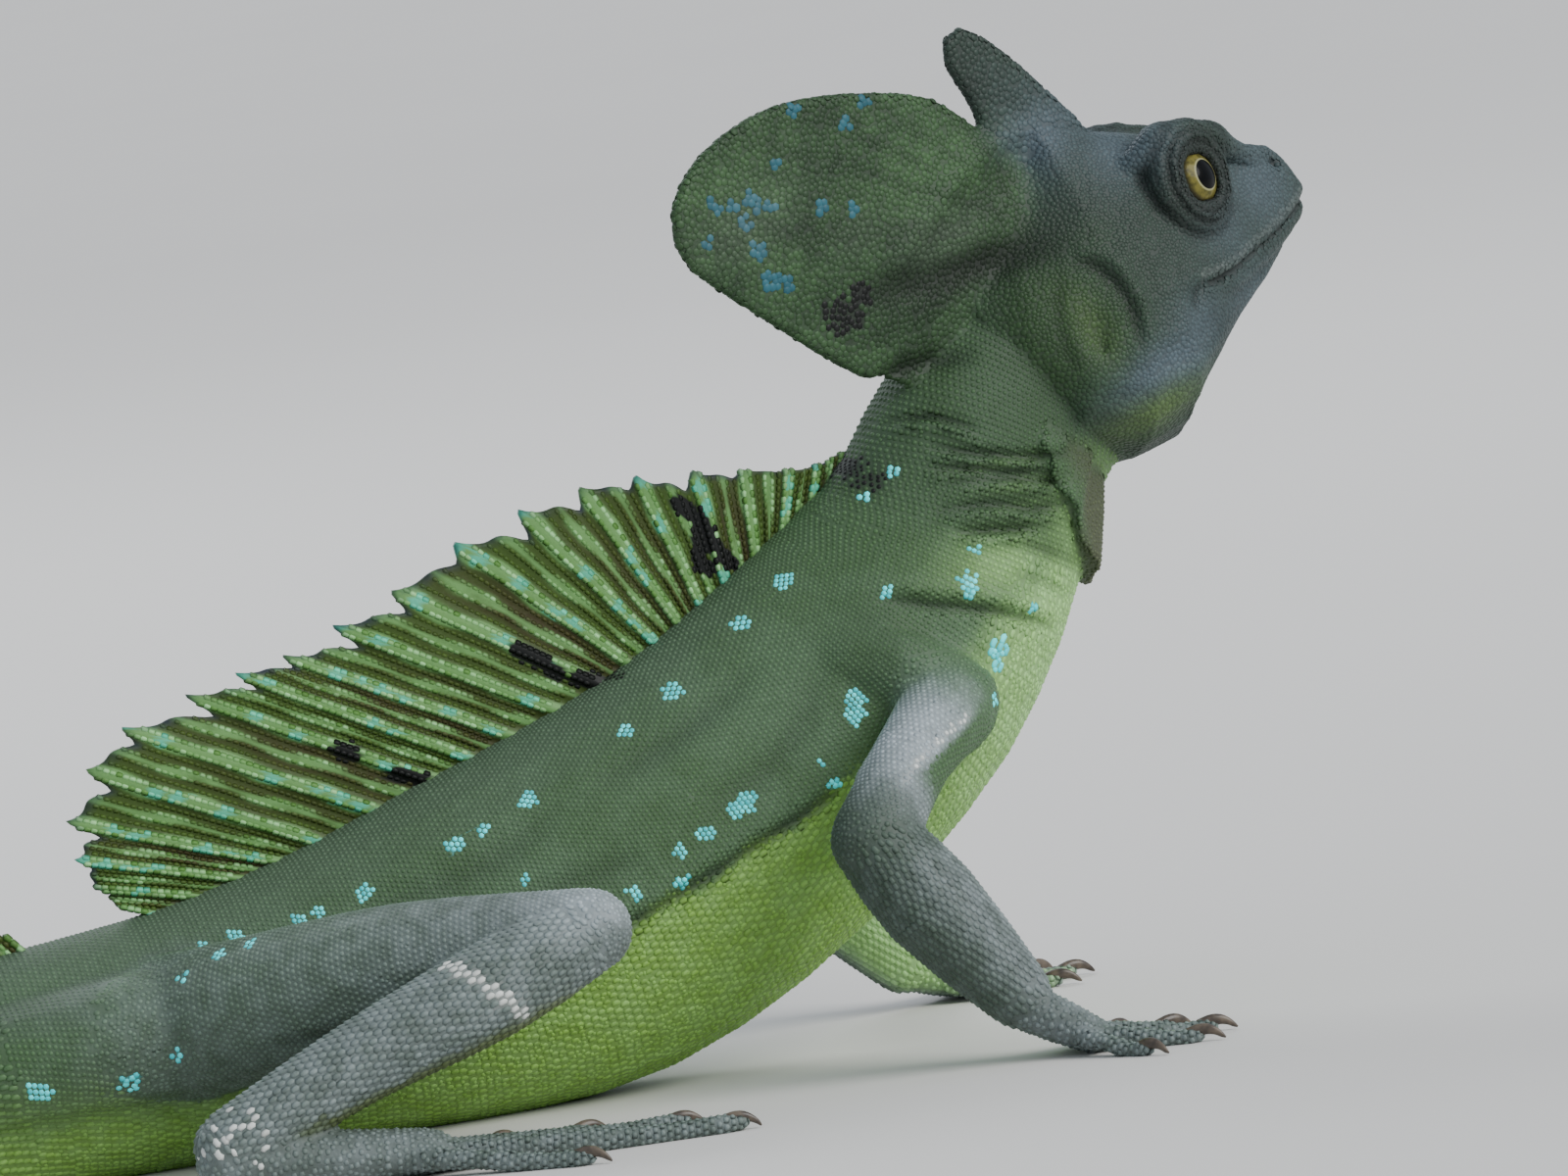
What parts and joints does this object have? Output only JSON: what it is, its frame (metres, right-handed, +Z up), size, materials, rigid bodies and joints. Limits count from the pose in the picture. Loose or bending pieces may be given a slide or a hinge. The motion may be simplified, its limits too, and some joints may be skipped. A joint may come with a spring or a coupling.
{
  "type": "green basilisk lizard",
  "caption": "Adult male green basilisk propped on its forelegs, with two head crests, a rayed back sail, a tail crest and a long tail, still.",
  "frame": {"origin": "on the floor, at the middle of the flat where the belly rests", "axes": "+X towards the head, +Y to the animal's left, +Z up"},
  "size_m": [0.8045, 0.1476, 0.1455],
  "materials": {
    "skin_green": "fine dry scales, dark green on the back and yellow-green below",
    "skin_slate": "dry keeled scales, slate grey-green",
    "crest_skin": "thin scaly membrane on bright green rays",
    "eye": "wet gloss, golden iris round a black pupil"
  },
  "bodies": {
    "root": {"pelvis": "skin_green", "abdomen": "skin_green", "chest": "skin_green", "tail_5": "skin_green", "tail_4": "skin_green", "tail_3": "skin_green", "tail_2": "skin_green", "tail_1": "skin_green", "neck": "skin_green", "throat_fold": "skin_green", "crest_rear": "skin_green", "head": "skin_slate", "lower_jaw": "skin_slate", "crest_front": "skin_slate", "upper_arm_left": "skin_slate", "forearm_left": "skin_slate", "hand_left": "skin_slate", "thigh_left": "skin_slate", "shank_left": "skin_slate", "foot_left": "skin_slate", "upper_arm_right": "skin_slate", "forearm_right": "skin_slate", "hand_right": "skin_slate", "thigh_right": "skin_slate", "shank_right": "skin_slate", "foot_right": "skin_slate", "crest_back": "crest_skin", "crest_tail": "crest_skin", "eye_left": "eye", "eye_right": "eye"}
  },
  "joints": []
}
